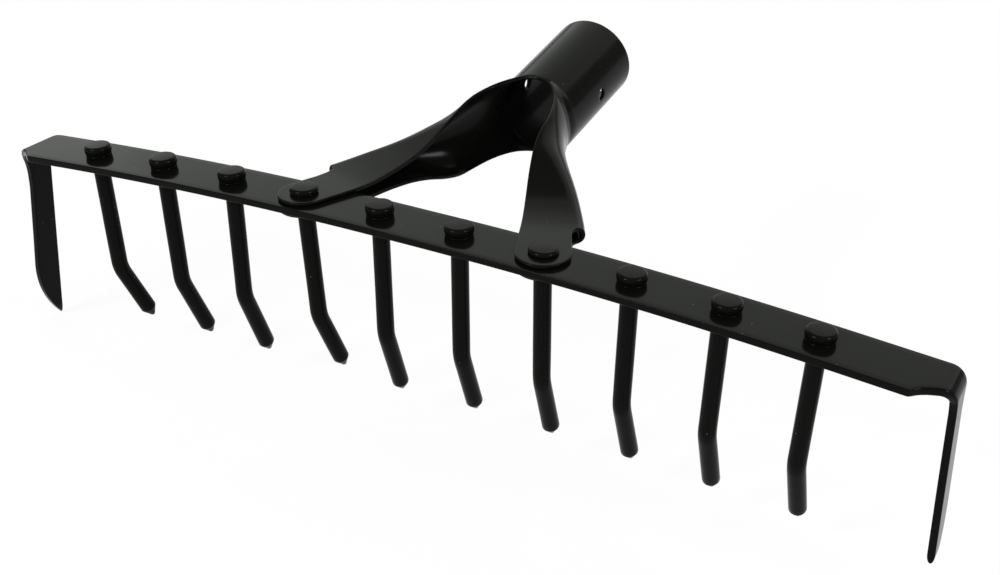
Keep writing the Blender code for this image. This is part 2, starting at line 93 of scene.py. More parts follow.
def smoothstep(value: Array, start: float = 0.0, run: float = 1.0) -> Array:
    """Ease from 0 to 1 over a run, level at both ends: 3 v squared less 2 v cubed."""
    value = np.clip((value - start) / run, 0.0, 1.0)
    return value * value * (3.0 - 2.0 * value)


def blend(first: Array, second: Array, share: Array) -> Array:
    """Weighted mean of two values or arrays."""
    return first + (second - first) * share


def hermite(start: Array, start_pull: Array, end: Array, end_pull: Array, share: Array) -> Array:
    """Cubic that leaves start along one pull and meets end along the other."""
    t = share[..., None]
    return (
        (2.0 * t ** 3 - 3.0 * t ** 2 + 1.0) * start
        + (t ** 3 - 2.0 * t ** 2 + t) * start_pull
        + (3.0 * t ** 2 - 2.0 * t ** 3) * end
        + (t ** 3 - t ** 2) * end_pull
    )


def smooth_through(places: tuple, values: tuple, at: Array, width: float) -> Array:
    """Broken line through the values, averaged over a window round each place."""
    return np.interp(at[..., None] + WINDOW * width, places, values).mean(axis=-1)


def quad_corners(number: Array) -> Array:
    """Four point numbers for each quad between rows and columns of numbers."""
    return stacked(number[:-1, :-1], number[:-1, 1:], number[1:, 1:], number[1:, :-1])


def grid_faces(rows: int, columns: int, closed: bool) -> Array:
    """Quads of a grid of points; a closed one joins its last column to its first."""
    number = np.arange(rows * columns).reshape(rows, columns)
    return quad_corners(np.c_[number, number[:, :1]] if closed else number).reshape(-1, 4)


def make_piece(name: str, points: Array, faces: Array, caps: list = ()) -> Piece:
    """Object from points and faces, shaded smooth.

    Args:
        name: Name of the piece.
        points: One row of x, y, z for each point.
        faces: Point numbers of each quad.
        caps: Further faces with any number of corners.

    Returns:
        The new object, at the origin.
    """
    mesh = bpy.data.meshes.new(name)
    all_faces = np.asarray(faces).tolist() + [list(cap) for cap in caps]
    mesh.from_pydata(np.asarray(points, dtype=float).tolist(), [], all_faces)
    mesh.validate()
    mesh.shade_smooth()
    piece = bpy.data.objects.new(name, mesh)
    bpy.context.scene.collection.objects.link(piece)
    return piece


def turn_outward(piece: Piece) -> None:
    """Turn a closed piece's faces outwards when its signed volume is negative.

    Args:
        piece: Piece to look at.
    """
    mesh = piece.data
    mesh.calc_loop_triangles()
    corners = np.zeros(len(mesh.loop_triangles) * 3, dtype=np.int32)
    mesh.loop_triangles.foreach_get("vertices", corners)
    points = np.zeros(len(mesh.vertices) * 3)
    mesh.vertices.foreach_get("co", points)
    a, b, c = points.reshape(-1, 3)[corners.reshape(-1, 3)].transpose(1, 0, 2)
    if np.einsum("ij,ij->", a, np.cross(b, c)) < 0.0:
        mesh.flip_normals()


@dataclass(frozen=True)
class Arch:
    """Long curve of the bar: flat in its middle, then bent down to both sides."""

    radius: float = 1970.0 * MM
    flat: float = 8.0 * MM
    reach: float = 160.0 * MM

    def angle(self, x: Array) -> Array:
        """Slope of the bar at a distance from its middle."""
        bent = np.clip(x, -self.reach, self.reach) - np.clip(x, -self.flat, self.flat)
        return bent / self.radius

    def place(self, points: Array) -> Array:
        """Bend flat points onto the arch; past its reach they carry on straight.

        Args:
            points: Points of the flat bar.

        Returns:
            The same points on the arch.
        """
        x, y, z = points[..., 0], points[..., 1], points[..., 2]
        level = np.clip(x, -self.flat, self.flat)
        beyond = x - np.clip(x, -self.reach, self.reach)
        angle = self.angle(x)
        radius = self.radius + z
        along = level + radius * np.sin(angle) + beyond * np.cos(angle)
        up = radius * np.cos(angle) - self.radius - beyond * np.sin(angle)
        return stacked(along, y, up)

    def seat(self, x: float) -> Matrix:
        """Place and tilt of a rivet that stands square to the bar at x."""
        place = Matrix.Translation(self.place(np.array((x, 0.0, 0.0))))
        return place @ Matrix.Rotation(float(self.angle(x)), 4, "Y")


ARCH = Arch()


@dataclass(frozen=True)
class BarEnd:
    """One end of the bar: the rear part of the strip, bent down and pointed.

    Both edges are given in millimetres, by places along the strip from the
    start of the bend and by distances across it from its middle. The rear
    run gives the start and length of its narrowing. Rows count those round
    the bend, down the blade and at the point.
    """

    side: Side
    reach: float
    splay: float
    toe: float
    drop: float
    bend_radius: float
    front_places: tuple
    front_edge: tuple
    rear_run: tuple
    pointed_edge: PointedEdge
    point_length: float
    point_powers: tuple
    width: float = BAR_WIDTH
    thickness: float = BAR_THICKNESS
    blade_rear: float = 8.7 * MM
    point_width: float = 0.5 * MM
    thin_run: float = 3.5 * MM
    thin_share: float = 0.8
    shear_start: float = 1.0 * MM
    shear_end: float = 5.0 * MM
    notch_rounding: float = 1.4 * MM
    run_on: tuple = (50.0, 100.0)
    lead: float = 2.0 * MM
    past_bend: float = 4.0 * MM
    rows: tuple = (75, 25, 50)

    @property
    def start(self) -> float:
        """How far out along the bar the bend starts."""
        return self.reach - self.bend_radius - self.thickness

    @property
    def middle(self) -> float:
        """Radius of the bend at mid thickness."""
        return self.bend_radius + self.thickness / 2.0

    def stations(self) -> tuple:
        """Bend angle, its length along the strip, and the places of the rows.

        Rows are even round the bend and down the blade, and crowd towards
        the point by the sine of an even angle.

        Returns:
            Bend angle, bend length, whole length and the rows' places.
        """
        angle = QUARTER - self.splay - float(ARCH.angle(ARCH.reach))
        bend = self.middle * angle
        fall = self.drop - self.thickness / 2.0 - self.middle * (1.0 - math.cos(angle))
        length = bend + fall / math.sin(angle)
        tip = length - self.point_length
        on_bend, on_blade, on_point = self.rows
        knee = bend + self.past_bend
        near = np.linspace(self.front_places[0] * MM - self.lead, knee, on_bend)
        far = np.linspace(knee, tip, on_blade)
        point = tip + self.point_length * np.sin(np.linspace(0.0, QUARTER, on_point))
        return angle, bend, length, joined(near, far[1:], point[1:])

    def edges(self, along: Array, length: float) -> tuple:
        """Front and rear edge of the strip at each place.

        The front edge is a broken line with rounded corners. Towards the end
        one edge runs to the other by 1 less (1 less t to a power) to a power.

        Args:
            along: Distances past the start of the bend.
            length: Length from the bend's start to the point.

        Returns:
            Arrays of the front and the rear edge, square to the strip.
        """
        slope = -math.tan(self.toe)
        half = self.width / 2.0 / math.cos(self.toe)
        before, past = self.run_on
        first, last = self.front_places[0] - before, self.front_places[-1] + past
        places = np.array((first, *self.front_places, last)) * MM
        values = np.array((0.0, 0.0, *self.front_edge, self.front_edge[-1])) * MM
        values[:2] = -half + places[:2] * slope
        front = smooth_through(places, values, along, self.notch_rounding)
        narrowed = smoothstep(along / MM, *self.rear_run)
        rear = blend(half + along * slope, self.blade_rear, narrowed)
        to_point = np.clip((along - length) / self.point_length + 1.0, 0.0, 1.0)
        inner, outer = self.point_powers
        share = 1.0 - (1.0 - to_point ** inner) ** outer
        if self.pointed_edge is PointedEdge.REAR:
            front = blend(front, rear - self.point_width, share)
        else:
            rear = blend(rear, front + self.point_width, share)
        return front, rear

    def half_thickness(self, along: Array, length: float) -> Array:
        """Half the strip's thickness, rounded off by a quarter ellipse at the point."""
        to_end = np.clip((along - length) / self.thin_run + 1.0, 0.0, 1.0)
        return self.thickness / 2.0 * (1.0 - self.thin_share * (1.0 - np.sqrt(1.0 - to_end ** 2)))

    def sheared(self, along: Array, bend: float) -> Array:
        """Share of the rolled corner: whole along the notch and round the bend."""
        begun = smoothstep(along, self.front_places[0] * MM, self.shear_start)
        return begun * smoothstep(bend + self.shear_end - along, 0.0, self.shear_end)


@dataclass
class HeadBar:
    """Flat steel bar with its two end blades.

    Corner limits are shares of half the thickness and of the width. Ring
    steps count the points of a corner, a face and a wall.
    """

    width: float = BAR_WIDTH
    thickness: float = BAR_THICKNESS
    corner: float = 0.35 * MM
    sheared_corner: float = 0.85 * MM
    corner_limits: tuple = (0.9, 0.42)
    ring_steps: tuple = (6, 10, 5)
    spacing: float = 2.5 * MM
    plain_stop: float = 5.0 * MM
    worn_run: float = 6.0 * MM
    worn_share: float = 0.25
    left: BarEnd = BarEnd(
        side=Side.LEFT,
        reach=188.2 * MM,
        splay=math.radians(5.8),
        toe=math.radians(5.3),
        drop=84.4 * MM,
        bend_radius=4.6 * MM,
        front_places=(-5.7, -3.0, -1.0, 2.0, 4.5, 6.8, 9.3, 12.2, 15.6, 22.0, 46.0, 60.0),
        front_edge=(-9.2, -7.7, -6.3, -5.3, -4.3, -3.4, -2.4, -1.8, -1.4, -1.9, -2.3),
        rear_run=(-2.0, 9.0),
        pointed_edge=PointedEdge.REAR,
        point_length=28.0 * MM,
        point_powers=(2.1, 1.0),
    )
    right: BarEnd = BarEnd(
        side=Side.RIGHT,
        reach=194.6 * MM,
        splay=0.0,
        toe=math.radians(3.0),
        drop=67.6 * MM,
        bend_radius=3.2 * MM,
        front_places=(-7.9, -7.2, -5.3, -2.8, -0.1, 1.8, 3.8, 7.2, 11.4, 16.0, 40.0),
        front_edge=(-10.1, -8.2, -6.6, -5.5, -4.8, -3.8, -1.8, -0.8, -1.0, -1.5),
        rear_run=(2.0, 14.0),
        pointed_edge=PointedEdge.FRONT,
        point_length=21.0 * MM,
        point_powers=(2.5, 0.5),
    )

    def profile(self, front: Array, rear: Array, half: Array, sheared: Array) -> tuple:
        """Rounded rectangle across the strip, one ring for each row.

        Each corner is a quarter circle and the faces between them are flat.
        Where the notch was sheared, the upper front corner is rolled over.

        Args:
            front: Front edge of each row.
            rear: Rear edge of each row.
            half: Half the thickness of each row.
            sheared: Share of the rolled corner in each row.

        Returns:
            Place across the strip and height from its middle, rows by ring points.
        """
        half = half[:, None]
        of_half, of_width = self.corner_limits
        limit = np.minimum(half * of_half, (rear - front)[:, None] * of_width)
        corner = np.minimum(self.corner, limit)
        rolled = np.minimum(blend(self.corner, self.sheared_corner, sheared)[:, None], limit)
        on_corner, on_face, on_wall = self.ring_steps
        quarter = np.linspace(0.0, QUARTER, on_corner)
        inner = np.linspace(0.0, 1.0, on_face)[1:-1]
        wall = np.linspace(1.0, -1.0, on_wall)[1:-1]
        none, level = quarter * 0.0, wall * 0.0
        share = joined(none, inner, none + 1.0, level + 1.0, none + 1.0, 1.0 - inner, none, level)
        into, out = 1.0 - np.cos(quarter), np.cos(quarter) - 1.0
        inset = joined(into, blend(1.0, -1.0, inner), out[::-1], level)
        inset = joined(inset, out, blend(-1.0, 1.0, inner), into[::-1], level)
        rise = joined(np.sin(quarter) - 1.0, inner * 0.0, np.sin(quarter[::-1]) - 1.0)
        in_front = np.arange(len(share)) < len(quarter) + len(inner) // 2
        size = np.where(in_front, rolled, corner)
        across = blend(front[:, None], rear[:, None], share) + inset * size
        under = len(rise) + len(wall)
        above = half + rise * size[:, : len(rise)]
        below = -half - rise * size[:, under : under + len(rise)]
        walls = wall * (half - corner), -wall * (half - rolled)
        return across, np.concatenate((above, walls[0], below, walls[1]), axis=1)

    def end_rings(self, end: BarEnd) -> Array:
        """Rings of one end from before its notch to its point, in flat space.

        The strip follows an arc down, and each ring lies square to it.

        Args:
            end: Sizes of the end.

        Returns:
            Rows of ring points.
        """
        angle, bend, length, along = end.stations()
        front, rear = end.edges(along, length)
        half = end.half_thickness(along, length)
        across, height = self.profile(front, rear, half, end.sheared(along, bend))
        turn = np.clip(along / end.middle, 0.0, angle)[:, None]
        past = along[:, None] - end.middle * turn
        ahead = end.middle * np.sin(turn) + past * np.cos(turn) + height * np.sin(turn)
        down = end.middle * (1.0 - np.cos(turn)) + past * np.sin(turn) - height * np.cos(turn)
        x = end.start + ahead * math.cos(end.toe) - across * math.sin(end.toe)
        y = ahead * math.sin(end.toe) + across * math.cos(end.toe)
        return stacked(end.side.value * x, y, -down - self.thickness / 2.0)

    def plain_rings(self) -> Array:
        """Rings of the plain bar between both ends, in flat space.

        Returns:
            Rows of ring points.
        """
        limits = []
        for end in (self.left, self.right):
            slant = self.width / 2.0 * math.tan(end.toe)
            notch = end.start + end.front_places[0] * MM
            limits.append(notch - slant - self.plain_stop)
        count = int((limits[0] + limits[1]) / self.spacing)
        x = np.linspace(-limits[0], limits[1], count)
        half = np.full(count, self.width / 2.0)
        thin = np.full(count, self.thickness / 2.0)
        across, height = self.profile(-half, half, thin, half * 0.0)
        x = np.broadcast_to(x[:, None], across.shape)
        return stacked(x, across, height - self.thickness / 2.0)

    def wear(self, points: Array) -> Array:
        """Share of thin paint: none along the bar, a little at the blades' points."""
        above = points[..., 2].min(axis=(0, 1)) + self.worn_run - points[..., 2]
        return self.worn_share * smoothstep(above, 0.0, self.worn_run)

    def build(self, finish: "BakedEnamel") -> Piece:
        """Bar as a rounded profile carried along its length and down both blades.

        Args:
            finish: Enamel that coats it.

        Returns:
            The finished piece.
        """
        left, right = self.end_rings(self.left)[::-1], self.end_rings(self.right)
        points = ARCH.place(joined(left, self.plain_rings(), right))
        rows, around = points.shape[:2]
        last = (rows - 1) * around
        caps = [range(around)[::-1], range(last, last + around)]
        faces = grid_faces(rows, around, closed=True)
        piece = make_piece("bar_strip", points.reshape(-1, 3), faces, caps)
        finish.coat(piece, self.wear(points).reshape(-1))
        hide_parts("head_bar")
        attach(piece, BODY)
        return piece


@dataclass(frozen=True)
class TineSet:
    """Ten tines, each a round rod with its rivet head.

    Rows of ten values run from the left tine. Leans and turns are in degrees.
    The heads' shifts and sinks and the rods' trims are in millimetres. Waves
    and tilt give a share of the radius and how fast its sine runs.
    """

    count: int = 10
    pitch: float = 33.0 * MM
    rod_radius: float = 3.23 * MM
    bend_depth: float = 49.4 * MM
    bend_angle: float = math.radians(22.2)
    bend_radius: float = 16.0 * MM
    foot_length: float = 31.6 * MM
    point_length: float = 4.5 * MM
    point_radius: float = 0.75 * MM
    cone_runs: tuple = (0.04, 0.09, 0.16, 0.4, 0.65, 0.88, 0.96, 1.0, 1.0)
    cone_falls: tuple = (0.015, 0.055, 0.125, 0.38, 0.64, 0.88, 0.97, 1.03, 1.16)
    rod_steps: tuple = (22, 12, 12)
    rod_waves: tuple = ((0.006, 9.0, 2.0), (0.004, 23.0, 0.0))
    head_radius: float = 5.35 * MM
    head_top: float = 4.15 * MM
    head_base: float = 4.85 * MM
    head_height: float = 4.1 * MM
    lug_head_height: float = 2.2 * MM
    head_dome: float = 0.12 * MM
    head_crease: float = 0.25 * MM
    roll_drop: float = 1.25
    tuck_power: float = 2.6
    lip: tuple = (0.06 * MM, 0.10 * MM)
    lip_reach: float = 0.22 * MM
    spigot_radius: float = 2.5 * MM
    spigot_sink: float = 0.4 * MM
    head_steps: tuple = (12, 12, 10)
    head_waves: tuple = ((0.008, 2.0, 1.7), (0.005, 3.0, 2.9))
    head_tilt: tuple = (0.012, 2.1)
    bar_thickness: float = BAR_THICKNESS
    sheet: float = SHEET
    gap: float = GAP
    lug_numbers: tuple = (4, 7)
    around: int = 56
    worn_run: float = 1.3 * MM
    worn_fade: float = 0.9 * MM
    leans: tuple = (0.0, 0.0, -1.4, 2.5, 0.0, 0.0, 1.0, 0.0, 0.0, 0.0)
    turns: tuple = (22.0, 6.0, 0.0, 5.0, -9.0, -5.0, -8.0, 0.0, 0.0, 3.0)
    shifts: tuple = (0.0, 0.0, 0.0, 0.0, 0.0, -0.15, 0.1, 0.3, 1.3, 0.2)
    sinks: tuple = (0.0, 0.0, 0.0, 0.0, 0.0, 0.3, 0.4, 0.35, 0.3, 0.3)
    trims: tuple = (-4.1, -1.4, 0.5, -2.9, 1.7, 0.1, 0.3, 0.0, 0.0, -1.2)

    @property
    def ring(self) -> Array:
        """Angles round a rod or a head."""
        return np.linspace(0.0, 2.0 * math.pi, self.around, endpoint=False)

    def head_profile(self, seat: float, height: float) -> Array:
        """Radius and height down the head: domed top, rolled edge, tucked foot.

        The top is a parabola, the edge a quarter ellipse, and the flank draws
        in by a power of its fall.

        Args:
            seat: Height of the face that the head sits on.
            height: Height of the head above its seat.

        Returns:
            Rows of radius and height, from the top's middle down to the spigot.
        """
        top = seat + height
        roll = self.head_radius - self.head_top
        rim = top - self.head_dome
        drop = roll * self.roll_drop
        on_face, on_edge, on_flank = self.head_steps
        share = np.linspace(0.0, 1.0, on_face)[1:]
        face = stacked(self.head_top * share, top - self.head_dome * share ** 2)
        turn = np.linspace(0.0, QUARTER, on_edge)[1:]
        edge = stacked(self.head_top + roll * np.sin(turn), rim - drop * (1.0 - np.cos(turn)))
        fall = np.linspace(0.0, 1.0, on_flank)[1:]
        tuck = (self.head_radius - self.head_base) * fall ** self.tuck_power
        flank = stacked(self.head_radius - tuck, blend(rim - drop, seat + self.head_crease, fall))
        out, up = self.lip
        base, spigot = self.head_base, self.spigot_radius
        foot = stacked(
            (base + out, base + self.lip_reach, spigot, spigot),
            (seat + up, seat, seat, seat - self.spigot_sink),
        )
        return joined(face, edge, flank, foot)

    def head_mesh(self, number: int) -> tuple:
        """Head of one rivet: its profile spun round, slightly out of true.

        The radius swells and shrinks by two cosines of the turn, and the top
        tilts by one more.

        Args:
            number: Number of the tine, from the left.

        Returns:
            Points by rows and the middle of the top.
        """
        in_lug = number in self.lug_numbers
        seat = self.gap + (self.sheet + self.gap if in_lug else 0.0)
        height = self.lug_head_height if in_lug else self.head_height
        height -= self.sinks[number - 1] * MM
        profile = self.head_profile(seat, height)
        turn = self.ring
        waves = (size * np.cos(k * turn + step * number) for size, k, step in self.head_waves)
        radius = profile[:, :1] * sum(waves, 1.0)
        slant, step = self.head_tilt
        tilt = slant * np.cos(turn + step * number) * radius
        rise = profile[:, 1:] + tilt * smoothstep(profile[:, 1:], seat, height)
        shift = self.shifts[number - 1] * MM
        points = stacked(radius * np.cos(turn) + shift, radius * np.sin(turn), rise)
        return points, np.array((shift, 0.0, seat + height))

    def rod_path(self, trim: float) -> tuple:
        """Middle line, heading and radius of the rod below the bar.

        It runs straight down, turns back on an arc, and ends in a cone.

        Args:
            trim: Length added to the rod's foot.

        Returns:
            Places, headings and radii of the rows.
        """
        tangent = self.bend_radius * math.tan(self.bend_angle / 2.0)
        knee = self.bend_depth - tangent
        on_top, on_bend, on_foot = self.rod_steps
        top = np.linspace(self.bar_thickness + self.gap, knee, on_top)[:-1]
        turn = np.linspace(0.0, self.bend_angle, on_bend)
        foot_end = self.foot_length + trim - self.point_length
        cone = foot_end + self.point_length * np.array(self.cone_runs)
        foot = joined(np.linspace(tangent, foot_end, on_foot)[1:], cone)
        arc = self.bend_radius * (1.0 - np.cos(turn))
        side = joined(top * 0.0, arc, foot * math.sin(self.bend_angle))
        arc = knee + self.bend_radius * np.sin(turn)
        down = joined(top, arc, self.bend_depth + foot * math.cos(self.bend_angle))
        angle = joined(top * 0.0, turn, np.full(len(foot), self.bend_angle))
        cone_radius = blend(self.rod_radius, self.point_radius, np.array(self.cone_falls))
        radius = joined(np.full(len(side) - len(cone), self.rod_radius), cone_radius)
        place = stacked(side * 0.0, side, -down)
        return place, stacked(angle * 0.0, np.sin(angle), -np.cos(angle)), radius

    def rod_mesh(self, number: int) -> Array:
        """Round rod of one tine: a circle carried along its path.

        Its radius varies a little by two sines of the run and the turn, and
        the whole rod leans and is turned about its top.

        Args:
            number: Number of the tine, from the left.

        Returns:
            Points by rows.
        """
        place, heading, radius = self.rod_path(self.trims[number - 1] * MM)
        turn = self.ring
        other = stacked(heading[:, 0], heading[:, 2], -heading[:, 1])
        run = np.linspace(0.0, 1.0, len(radius))[:, None]
        waves = (size * np.sin(j * run + k * turn + number) for size, j, k in self.rod_waves)
        size = (radius[:, None] * sum(waves, 1.0))[..., None]
        across = np.cos(turn)[:, None] * np.array((1.0, 0.0, 0.0))
        points = place[:, None, :] - size * (across + np.sin(turn)[:, None] * other[:, None, :])
        pivot = np.array((0.0, 0.0, place[0, 2]))
        lean = Matrix.Rotation(-math.radians(self.leans[number - 1]), 3, "Y")
        askew = lean @ Matrix.Rotation(-math.radians(self.turns[number - 1]), 3, "Z")
        return (points - pivot) @ np.array(askew).T + pivot

    def build_one(self, number: int, finish: "BakedEnamel") -> Piece:
        """One tine with its head.

        Args:
            number: Number of the tine, from the left.
            finish: Enamel that coats it.

        Returns:
            The finished piece.
        """
        head, top = self.head_mesh(number)
        rod = self.rod_mesh(number)
        rows = joined(head, rod)
        points = joined(top[None], rows.reshape(-1, 3), rod[-1].mean(axis=0)[None])
        column = np.arange(self.around)
        after = np.roll(column, -1)
        last = 1 + (len(rows) - 1) * self.around
        tip = np.full(self.around, len(points) - 1)
        upper = stacked(column * 0, 1 + after, 1 + column)
        lower = stacked(tip, last + column, last + after)
        seat = np.array(ARCH.seat((number - (self.count + 1) / 2.0) * self.pitch))
        points = points @ seat[:3, :3].T + seat[:3, 3]
        faces = grid_faces(len(rows), self.around, closed=True) + 1
        piece = make_piece(f"tine_rod_{number:02d}", points, faces, joined(upper, lower).tolist())
        above = points[:, 2].min() + self.worn_run - points[:, 2]
        finish.coat(piece, smoothstep(above, 0.0, self.worn_fade))
        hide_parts(f"tine_{number:02d}")
        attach(piece, BODY)
        return piece

    def build(self, finish: "BakedEnamel") -> list:
        """All tines, from the left."""
        return [self.build_one(number, finish) for number in range(1, self.count + 1)]


@dataclass(frozen=True)
class ArmShape:
    """Small differences of one hand-bent arm.

    Each row gives millimetres at the same shares of the arm's run, from the
    crotch of the notch to the lug.
    """

    half_heights: tuple
    lifts: tuple
    shifts: tuple
    extra_depths: tuple
    cut_distance: float
    cut_run: float
    hole_setback: float
    hole_radius: float
    places: tuple = (0.0, 0.08, 0.20, 0.32, 0.44, 0.56, 0.68, 0.80, 0.92, 1.0)
    rounding: float = 0.12

    def at(self, values: tuple, share: Array) -> Array:
        """Rounded broken line through one row of values, in metres."""
        places = (-1.0, *self.places, 2.0)
        return smooth_through(places, (values[0], *values, values[-1]), share, self.rounding) * MM


@dataclass
class HandleSocket:
    """Formed sheet: tube for the handle, U notch, two arms and their lugs.

    The lower part and the leaf and settle runs each give the start and the
    length of an easing, as shares of the section or of the arm's run.
    """

    sheet: float = SHEET
    radius: float = 16.8 * MM
    tilt: float = math.radians(9.4)
    crossing: float = 34.2 * MM
    closed_length: float = 46.7 * MM
    crotch: float = 55.8 * MM
    lower_crotch: float = 1.9 * MM
    lower_part: tuple = (0.6, 0.4)
    lower_fade: float = 0.45
    notch_half: float = 18.0 * MM
    notch_end: float = 62.0 * MM
    arm_angle: float = math.radians(23.7)
    fold_depth: float = 22.5 * MM
    lug_radius: float = 9.2 * MM
    lug_x: float = 49.5 * MM
    cut_radius: float = 5.5 * MM
    cut_lead: float = 1.5 * MM
    bar_thickness: float = BAR_THICKNESS
    gap: float = GAP
    level_length: float = 6.0 * MM
    inner_pull: float = 70.0 * MM
    fold_pulls: tuple = (50.0 * MM, 92.0 * MM)
    neck_share: float = 1.0 / 3.0
    own_share: float = 0.12
    settle_run: tuple = (1.0 / 3.0, 0.83 - 1.0 / 3.0)
    leaf_run: tuple = (0.25, 0.65)
    tube_rows: int = 56
    arm_rows: int = 90
    arm_power: float = 1.15
    cut_rows: int = 8
    lug_rows: int = 26
    leaf_columns: int = 20
    fold_columns: int = 24
    hole_cells: int = 3
    hole_spread: float = 3.0
    left: ArmShape = ArmShape(
        half_heights=(16.1, 15.4, 14.7, 14.5, 11.1, 5.4, 3.0, 2.325, 2.325, 2.325),
        lifts=(0.0, -0.3, -0.55, -0.41, -0.06, 0.51, 0.92, 0.1, 0.0, 0.0),
        shifts=(0.0, -0.04, -0.21, 0.08, 0.28, 0.35, 0.78, 0.62, 0.0, 0.0),
        extra_depths=(0.0, -1.0, -0.5, -1.2, -2.4, -1.2, 1.2, 3.3, 3.8, 3.8),
        cut_distance=20.8 * MM,
        cut_run=10.0 * MM,
        hole_setback=27.4 * MM,
        hole_radius=2.4 * MM,
    )
    right: ArmShape = ArmShape(
        half_heights=(16.1, 15.7, 15.2, 14.0, 10.9, 6.3, 3.0, 2.325, 2.325, 2.325),
        lifts=(0.0, 0.1, -0.41, -1.01, -1.04, -0.67, -0.29, 0.0, 0.0, 0.0),
        shifts=(0.0, -0.79, -1.58, -1.28, 0.08, 1.21, 1.54, 1.13, 0.0, 0.0),
        extra_depths=(0.0, -0.9, -0.4, -0.9, -1.5, -1.1, -0.8, -0.2, 0.6, 1.0),
        cut_distance=20.3 * MM,
        cut_run=5.5 * MM,
        hole_setback=25.0 * MM,
        hole_radius=2.7 * MM,
    )

    def shape(self, side: Side) -> ArmShape:
        """Differences of one arm."""
        return self.left if side is Side.LEFT else self.right

    @property
    def mid_radius(self) -> float:
        """Tube radius at mid thickness."""
        return self.radius - self.sheet / 2.0

    @property
    def columns(self) -> int:
        """Number of grid cells round one half of the sheet."""
        return 2 * self.leaf_columns + self.fold_columns

    @property
    def tube_step(self) -> float:
        """Length of one grid cell along the tube."""
        return self.closed_length / self.tube_rows

    @property
    def crotch_y(self) -> float:
        """How far back the notch's root lies."""
        return self.crossing + self.crotch * math.cos(self.tilt)

    @property
    def lug_middle(self) -> Array:
        """Plan place of the right lug's rivet."""
        return np.array((self.lug_x, 0.0))

    @property
    def outward(self) -> Array:
        """Plan direction across the right arm, away from the middle."""
        return np.array((math.cos(self.arm_angle), math.sin(self.arm_angle)))

    @property
    def forward(self) -> Array:
        """Plan direction along the right arm, towards the bar."""
        return np.array((math.sin(self.arm_angle), -math.cos(self.arm_angle)))

    def inner_edge(self, share: Array) -> Array:
        """Plan of the arm's open edge: quarter ellipse, then a cubic to the lug.

        Args:
            share: Share of the arm's run.

        Returns:
            One plan point for each share.
        """
        turn = np.clip(share / self.neck_share, 0.0, 1.0) * math.pi / 2.0
        depth = self.crotch_y - self.notch_end
        notch = stacked(self.notch_half * np.sin(turn), self.notch_end + depth * np.cos(turn))
        start = np.array((self.notch_half, self.notch_end))
        end = self.lug_middle - self.outward * self.lug_radius
        along = np.clip((share - self.neck_share) / (1.0 - self.neck_share), 0.0, 1.0)
        pull = np.array((0.0, -self.inner_pull))
        curve = hermite(start, pull, end, self.forward * self.inner_pull, along)
        return np.where((share < self.neck_share)[..., None], notch, curve)

    def fold_line(self, share: Array) -> Array:
        """Plan of the arm's outer fold: a cubic from the tube's side to the lug.

        Args:
            share: Share of the arm's run.

        Returns:
            One plan point for each share.
        """
        start = np.array((self.mid_radius, self.crotch_y))
        end = self.lug_middle + self.outward * (self.fold_depth - self.lug_radius)
        first = np.array((0.0, -self.fold_pulls[0]))
        last = self.forward * self.fold_pulls[1]
        return hermite(start, first, end, last, np.clip(share, 0.0, 1.0))

    def section(self, depth: Array, half: Array, fraction: Array) -> tuple:
        """Open section of the sheet at each row.

        A shallow section is an arc of a circle; a deep one is two level legs
        joined by a half circle. Fraction runs round it by length.

        Args:
            depth: Depth of each row's section.
            half: Half height of each row's opening.
            fraction: Place round the section, rows by columns, 0 at the upper edge.

        Returns:
            Distance out from the open edge and height above the middle.
        """
        depth, half = depth[:, None], half[:, None]
        radius = np.where(depth < half, (half ** 2 + depth ** 2) / (2.0 * depth), half)
        leg = np.maximum(depth - half, 0.0)
        swing = np.arcsin(np.clip(half / radius, 0.0, 1.0))
        run = (leg + swing * radius) * (1.0 - 2.0 * fraction)
        turned = np.clip(run, -swing * radius, swing * radius)
        out = depth - radius + radius * np.cos(turned / radius) - (np.abs(run) - np.abs(turned))
        return out, radius * np.sin(turned / radius)

    def fractions(self, share: Array, side: Side) -> Array:
        """Place of each column round the section: even on the tube, by leaf at the lug.

        Args:
            share: Share of the arm's run, one for each row.
            side: Which half of the socket.

        Returns:
            Rows by columns.
        """
        even = np.linspace(0.0, 1.0, self.columns + 1)
        half = self.bar_thickness / 2.0 + self.gap + self.sheet / 2.0
        depth = self.fold_depth + self.shape(side).extra_depths[-1] * MM
        whole = 2.0 * (depth - half) + math.pi * half
        turn = np.linspace(0.0, math.pi, self.leaf_columns + 1)
        leaf = self.lug_radius * (1.0 - np.cos(turn)) / whole
        bend = np.linspace(leaf[-1], 1.0 - leaf[-1], self.fold_columns + 1)
        at_lug = joined(leaf, bend[1:-1], 1.0 - leaf[::-1])
        return blend(even, at_lug, smoothstep(share, *self.leaf_run)[:, None])

    def underside(self, fraction: Array) -> Array:
        """How much further forward the notch starts towards the sheet's lower edge."""
        return self.lower_crotch * smoothstep(fraction, *self.lower_part)

    def tube_grid(self, side: Side) -> Array:
        """Half of the closed tube: half circles carried along its axis.

        Args:
            side: Which half.

        Returns:
            Rows by columns, as if it were the right half.
        """
        distance = np.linspace(self.closed_length, 0.0, self.tube_rows + 1)[:, None]
        fraction = np.linspace(0.0, 1.0, self.columns + 1)
        run = distance - self.underside(fraction) * (1.0 - distance / self.closed_length)
        run, turn = self.open_hole(side, run, (0.5 - fraction) * math.pi)
        up = self.mid_radius * np.sin(turn)
        along = self.crotch + run
        y = self.crossing + along * math.cos(self.tilt) - up * math.sin(self.tilt)
        z = along * math.sin(self.tilt) + up * math.cos(self.tilt)
        return stacked(self.mid_radius * np.cos(turn), y, z)

    def hole_row(self, side: Side) -> int:
        """Grid row that the nail hole's middle lies on, from the mouth."""
        ahead = self.closed_length - self.shape(side).hole_setback
        return self.tube_rows - round(ahead / self.tube_step)

